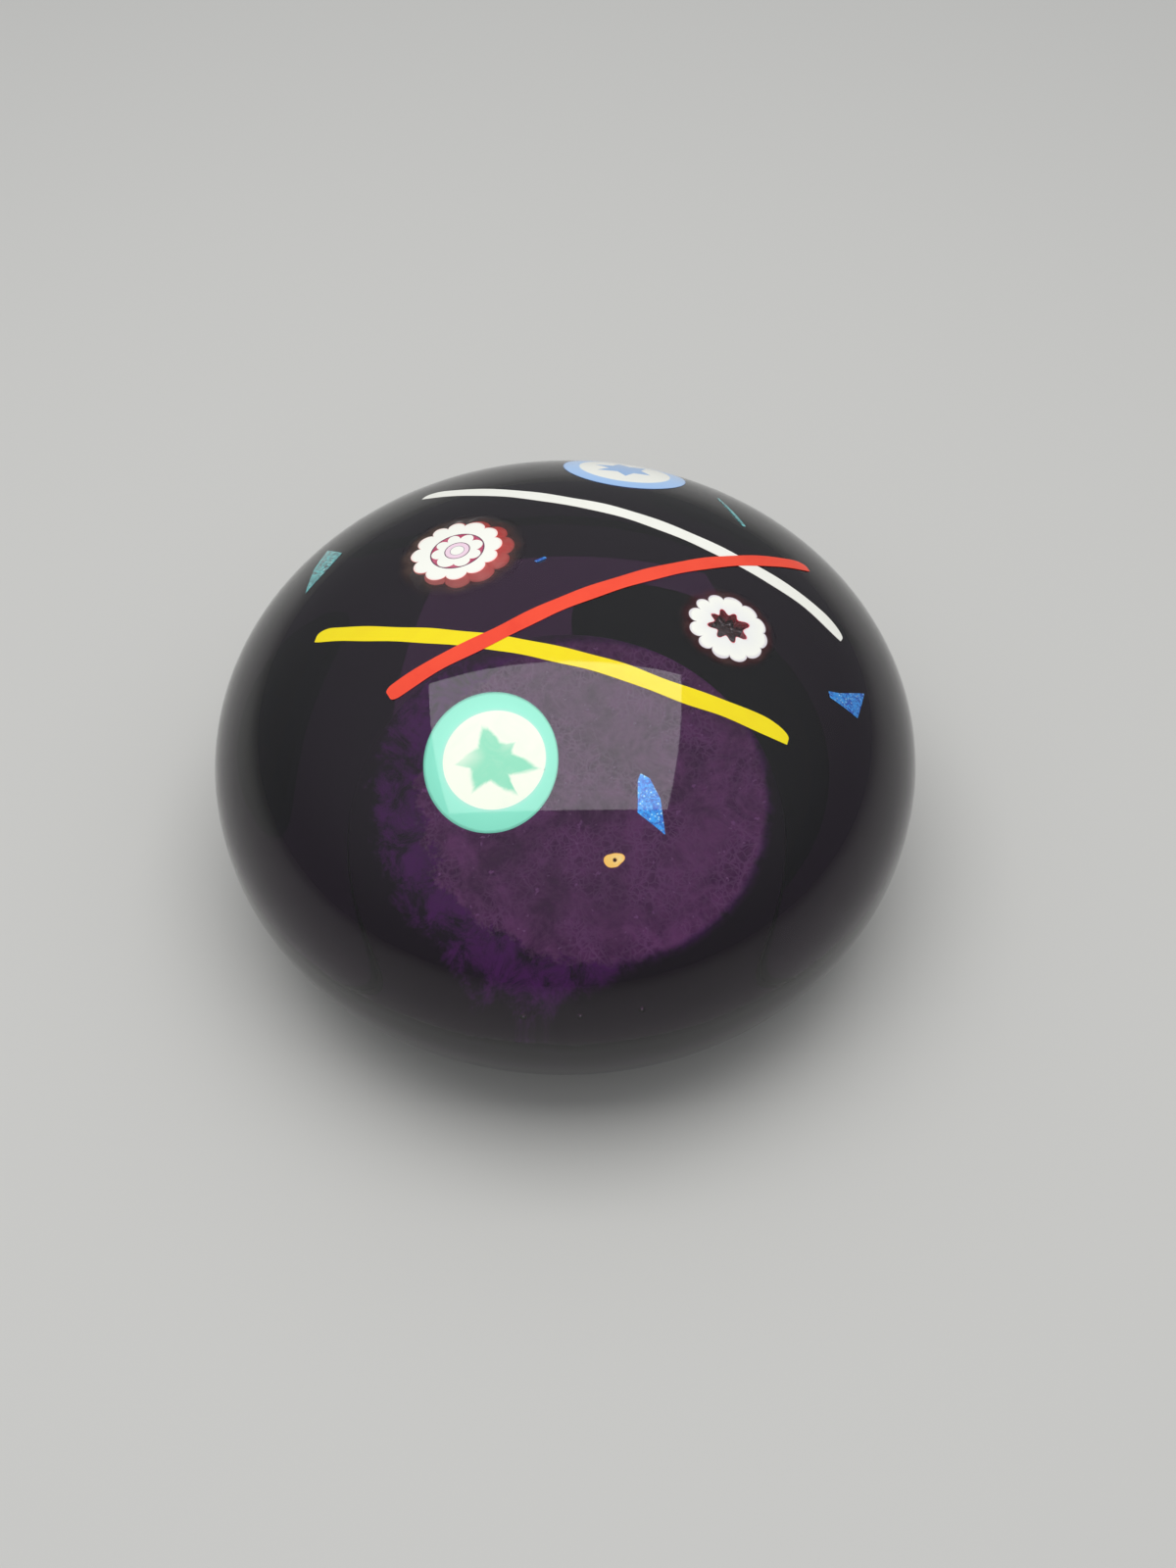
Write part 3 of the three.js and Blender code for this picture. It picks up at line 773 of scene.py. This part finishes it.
def add_daisy_slice():
    """White petals round a star-shaped cup."""
    seat = seat_of("daisy_core")
    notches = [2, 31, 60, 93, 122, 149, 181, 213, 240, 270, 299, 331]
    edge = uneven_petals(notches, leaning(4.42, 0.14, -40), leaning(0.7, 0.25, 180), 0.5)
    tips = [(19, 3.15), (63, 2.6), (103, 2.9), (141, 2.65), (188, 2.75), (236, 2.5), (284, 2.65), (329, 2.85)]
    core = scalloped_star(tips, 1.3, 0.9)
    place = {"depth": DAISY_DEPTH, "foot": DAISY_FOOT, "paint": {"shade": share_only}}
    inlay_piece("daisy_clear_coat", seat, edge, circle(5.5), material=RED_CLEAR, slot="dark_red_clear_glass",
                **place)
    inlay_piece("daisy_petals", seat, core, edge, material=DAISY, slot="white_glass", inner_foot=1.0, **place)
    well_piece("daisy_core", seat, core, DAISY_WELL_DEPTH, DARK_RED)


# ------------------------------------------------------------------ chips and frit

CHIPS = {  # outlines in plan, in mm, counter-clockwise
    "dichroic_chip_front": [(7, -22), (6.9, -24.9), (9.6, -26.6), (9.2, -23.5), (8.2, -21.7), (7.3, -21.3)],
    "dichroic_chip_right": [(27.7, -8.6), (30.8, -9.4), (32, -5.7), (28.9, -7.5), (27.6, -7.9)],
    "dichroic_chip_left": [(-26.8, 16.4), (-28, 12.9), (-28.5, 8.2), (-26.2, 11), (-24.7, 13.5)],
    "dichroic_sliver_back": [(18, 21.9), (17.9, 21.4), (20.2, 15.1), (20.6, 15.3)],
    "dichroic_fleck_top": [(-3, 4.3), (-2.8, 4), (-1.7, 4.6), (-1.9, 4.9)],
}


def add_chips():
    looks = {
        "dichroic_chip_front": (BLUE_DICHROIC, "blue_dichroic_glass"),
        "dichroic_chip_right": (BLUE_DICHROIC, "blue_dichroic_glass"),
        "dichroic_chip_left": (TEAL_DICHROIC, "teal_dichroic_glass"),
        "dichroic_sliver_back": (TEAL_DICHROIC, "teal_dichroic_glass"),
        "dichroic_fleck_top": (BLUE_DICHROIC, "blue_dichroic_glass"),
    }
    for name, corners in CHIPS.items():
        plan = np.array(corners, float)
        seat = seat_above(*plan.mean(0))
        level = np.full((len(plan), 1), WIDEST_LEVEL)
        on_dome = onto_dome(np.hstack([plan * MM, level]), UPWARDS)
        away = (on_dome - seat.origin) / MM
        outline = from_corners(np.stack([away @ seat.right, away @ seat.back], -1))
        material, slot = looks[name]
        inlay_piece(name, seat, None, outline, CHIP_DEPTH, material, slot, CHIP_FOOT, across=6)


def add_frit():
    """A crumb of orange glass with a small burst bubble in its top."""
    seat = seat_of("orange_frit")
    outline = oval(1.05, 0.68, (0, 0), 15) + 0.05 * polar(np.sin(3 * ANGLES) + 0.6 * np.sin(5 * ANGLES))

    def pit(share, outline):
        return np.clip(1.3 - np.hypot(*(outline - np.array([0.1, 0])).T) / 0.17, 0, 1)

    def sink(share, outline):
        return 0.4 * pit(share, outline)

    inlay_piece("orange_frit", seat, None, outline, CHIP_DEPTH, ORANGE, "orange_glass", CHIP_FOOT, sink,
                {"shade": share_only, "pit": pit}, across=30)


# ------------------------------------------------------------------ rods

ROUTES = {  # each rod's middle line in plan, in mm, as the CAD has it
    "red_stringer": [
        (-17.9, -11.2), (-13.3, -8.8), (-7.2, -6.1), (-1, -2.7), (5.2, 0.5), (11.7, 3.8), (18.5, 7.1),
        (27.2, 11),
    ],
    "white_stringer": [
        (-15.6, 21.7), (-8, 18.9), (0, 15.7), (5.5, 13.7), (10.9, 11.3), (18.5, 7.6), (25.7, 4), (30.2, 0.7),
    ],
    "yellow_stringer": [
        (-26.3, -0.3), (-18.9, -3.2), (-12.4, -5.3), (-6.6, -7), (-1, -8.7), (5.1, -10.5), (11.1, -12.5),
        (16.2, -13.6), (22.7, -15),
    ],
}


def smooth_route(corners, steps):
    """A smooth line through the corners: its points, and how far along it each one is."""
    corners = np.array(corners, float)
    ends = np.vstack([2 * corners[0] - corners[1], corners, 2 * corners[-1] - corners[-2]])
    points = []
    for a, b, c, d in zip(ends, ends[1:], ends[2:], ends[3:]):
        for t in np.linspace(0, 1, 24, endpoint=False):
            points.append(0.5 * (2 * b + (c - a) * t + (2 * a - 5 * b + 4 * c - d) * t**2
                                 + (3 * b - a - 3 * c + d) * t**3))
    points = np.array(points + [corners[-1]])
    along = np.concatenate([[0], np.cumsum(np.linalg.norm(np.diff(points, axis=0), axis=1))])
    where = along[-1] * (1 - np.cos(np.linspace(0, math.pi, steps))) / 2  # closest together at the ends
    return np.stack([np.interp(where, along, points[:, i]) for i in range(2)], -1), where


def rod_piece(name, taper_mm, tip_share, tip_side, width, material, proud=PROUD):
    """A rod pressed half round into the dome.

    The pairs are for its first and last end: how long the end tapers, how wide it still is at the tip, to
    which side of the middle line the tip lies (+1 is the front edge), and the rod's width there beside the
    usual one.
    """
    plan, along = smooth_route(ROUTES[name], 240)
    steps, length = len(plan), along[-1]
    level = np.full((steps, 1), WIDEST_LEVEL)
    spine = onto_dome(np.hstack([plan * MM, level]), UPWARDS)
    ups = normals_at(spine)
    forward = np.diff(spine, axis=0, append=spine[-1:] * 2 - spine[-2:-1])
    forward /= np.linalg.norm(forward, axis=1, keepdims=True)
    sideways = np.cross(forward, ups)
    sideways /= np.linalg.norm(sideways, axis=1, keepdims=True)
    uneven = 1 + 0.04 * np.sin(along * 0.9 + len(name))  # the name only makes each rod uneven in its own way
    usual = np.interp(along, (0, length), width) * uneven
    size, shift = usual.copy(), np.zeros(steps)
    for away, taper, share, side in zip((along, length - along), taper_mm, tip_share, tip_side):
        part = np.clip(away / taper, 0, 1)
        swell = share + (1 - share) * np.sqrt(1 - (1 - part) ** 2)
        size *= swell
        shift += side * usual * (1 - swell)
    across_top = np.linspace(1, -1, ROD_SIDES // 2 + 1)
    under = np.linspace(math.pi, 2 * math.pi, ROD_SIDES // 2 + 1)[1:-1]
    vertices, faces, rings = [], [], []
    for i in range(steps):
        top = spine[i] + ROD_RADIUS * (size[i] * across_top + shift[i])[:, None] * sideways[i]
        below = spine[i] + ROD_RADIUS * (ROD_FOOT * size[i] * np.cos(under) + shift[i])[:, None] * sideways[i]
        below += (ROD_DEPTH * size[i] * np.sin(under) - ROD_EDGE)[:, None] * ups[i]
        rings.append(np.arange(len(top) + len(below)) + len(vertices))
        vertices.extend([*onto_dome(top, ups[i], proud), *below])
        if i:
            faces += ring_faces(rings[-1], rings[-2])
    for ring, is_first in ((rings[0], True), (rings[-1], False)):
        vertices.append(np.mean([vertices[k] for k in ring], 0))
        hub = len(vertices) - 1
        faces += [(hub, a, b) if is_first else (hub, b, a) for a, b in ring_edges(ring)]
    edges = [(ring[k], after[k]) for ring, after in zip(rings, rings[1:]) for k in (0, ROD_SIDES // 2)]
    return new_piece(name, vertices, faces, material, name, sharp=edges)


def add_rods():
    rod_piece("white_stringer", (2.2, 3.2), (0.3, 0.3), (0.9, 0.8), (0.95, 1.03), IVORY)
    rod_piece("yellow_stringer", (1.8, 3.2), (0.35, 0.35), (0.7, 0.8), (0.98, 1.04), YELLOW)
    rod_piece("red_stringer", (0.9, 1.8), (0.45, 0.4), (0, 0.7), (0.97, 0.88), SCARLET,
              CROSSING_PROUD)


# ------------------------------------------------------------------ floor, lights and camera

def add_floor():
    mesh = bpy.data.meshes.new("floor")
    half = 1.5
    corners = [(-half, -half, 0), (half, -half, 0), (half, half, 0), (-half, half, 0)]
    mesh.from_pydata(corners, [], [(0, 1, 2, 3)])
    floor = bpy.data.objects.new("floor", mesh)
    bpy.context.scene.collection.objects.link(floor)
    mesh.materials.append(Nodes("floor", rgb(205, 204, 200), 0.65).material)


def add_softbox(name, place, aim, width, depth, power):
    data = bpy.data.lights.new(name, "AREA")
    data.shape = "RECTANGLE"
    data.size, data.size_y = width, depth
    data.energy = power
    light = bpy.data.objects.new(name, data)
    light.location = place
    light.rotation_euler = (Vector(aim) - Vector(place)).to_track_quat("-Z", "Y").to_euler()
    bpy.context.scene.collection.objects.link(light)


def add_world(horizon, zenith):
    """An even sky, dimmer towards the horizon."""
    world = bpy.data.worlds.new("world")
    bpy.context.scene.world = world
    world.use_nodes = True
    tree = world.node_tree
    direction = tree.nodes.new("ShaderNodeTexCoord")
    height = tree.nodes.new("ShaderNodeSeparateXYZ")
    strength = tree.nodes.new("ShaderNodeMapRange")
    strength.interpolation_type = "SMOOTHSTEP"
    for index, value in ((1, 0.0), (2, 0.9), (3, horizon), (4, zenith)):
        strength.inputs[index].default_value = value
    background = tree.nodes["Background"]
    background.inputs["Color"].default_value = (0.95, 0.97, 1.0, 1)
    tree.links.new(direction.outputs["Generated"], height.inputs[0])
    tree.links.new(height.outputs["Z"], strength.inputs[0])
    tree.links.new(strength.outputs[0], background.inputs["Strength"])


def add_camera():
    """Looks down on the dome from the front, at the photograph's viewing angle."""
    elevation = math.radians(50.2)
    distance = 5 * DOME_RADIUS
    centre = Vector((0, 0, WIDEST_LEVEL))
    towards = Vector((0, -math.cos(elevation), math.sin(elevation)))
    data = bpy.data.cameras.new("camera")
    data.lens = 39.7
    data.sensor_width = 36
    data.clip_start = 0.01
    camera = bpy.data.objects.new("camera", data)
    camera.location = centre + distance * towards
    right = Vector((1, 0, 0))
    up = towards.cross(right)
    aim = centre + 2.5 * MM * right - 4.2 * MM * up
    camera.rotation_euler = (aim - camera.location).to_track_quat("-Z", "Y").to_euler()
    bpy.context.scene.collection.objects.link(camera)
    bpy.context.scene.camera = camera


add_camera()

PURPLE = purple_glass()
GROUND = ground_glass()
TEAL = layered_glass("teal_glass", (0.0, rgb(165, 236, 214)), (0.2, rgb(146, 238, 210)),
                     (0.85, rgb(140, 232, 204)), (1.0, rgb(96, 170, 150)), wander=0.05)
CREAM = opaque_glass("cream_glass", CREAM_COLOR, rgb(232, 243, 224))
TEAL_STAR = pale_teal_glass()
BLUE = layered_glass("blue_glass", (0.0, rgb(205, 230, 252)), (0.08, rgb(168, 206, 250)),
                     (0.9, rgb(164, 203, 250)), (1.0, rgb(108, 142, 192)), wander=0.04)
WHITE = opaque_glass("white_glass", WHITE_COLOR, rgb(240, 242, 236), 0.3)
PALE_BLUE = opaque_glass("pale_blue_glass", rgb(140, 182, 232), rgb(165, 200, 238))
PETAL = layered_glass("petal_glass", (0.0, WHITE_COLOR), (0.86, WHITE_COLOR), (1.0, rgb(246, 222, 214)),
                      wander=0.05)
RED = red_glass()
ROSE = rose_glass()
PINK = layered_glass("pink_glass", (0.06, rgb(150, 140, 150)), (0.14, rgb(245, 215, 230)),
                     (0.8, rgb(245, 215, 230)), (0.88, THIN_LINE), wander=0.03)
DAISY = layered_glass("daisy_glass", (0.0, rgb(232, 226, 226)), (0.12, rgb(244, 244, 240)),
                      (0.85, WHITE_COLOR), (1.0, rgb(214, 206, 214)), wander=0.06)
BROWN_CLEAR = thin_clear_glass("smoky_clear_glass", rgb(72, 54, 46), 0.85, 0.0, 1.0)
RED_CLEAR = thin_clear_glass("dark_red_clear_glass", rgb(70, 22, 30), 0.6, 0.0, 0.95)
DARK_RED = dark_red_glass()
IVORY = opaque_glass("ivory_glass", WHITE_COLOR, rgb(240, 238, 226), 0.3)
SCARLET = opaque_glass("scarlet_glass", rgb(249, 77, 48), rgb(236, 58, 38))
YELLOW = opaque_glass("yellow_glass", rgb(250, 228, 4), rgb(244, 214, 10))
ORANGE = orange_glass()
BLUE_DICHROIC = dichroic_glass("blue_dichroic_glass", rgb(0, 74, 185), rgb(40, 160, 245), rgb(190, 240, 255))
TEAL_DICHROIC = dichroic_glass("teal_dichroic_glass", rgb(10, 84, 92), rgb(100, 220, 220), rgb(215, 255, 250))

add_body()
add_ground_base()
add_teal_star_slice()
add_blue_star_slice()
add_flower_slice()
add_daisy_slice()
add_chips()
add_frit()
add_rods()

add_floor()
add_world(horizon=0.3, zenith=0.6)
add_softbox("key", place=(-0.02, 0.01, 0.42), aim=(-0.02, 0.01, 0), width=0.42, depth=0.30, power=1.0)
bpy.context.scene.view_settings.view_transform = "Standard"
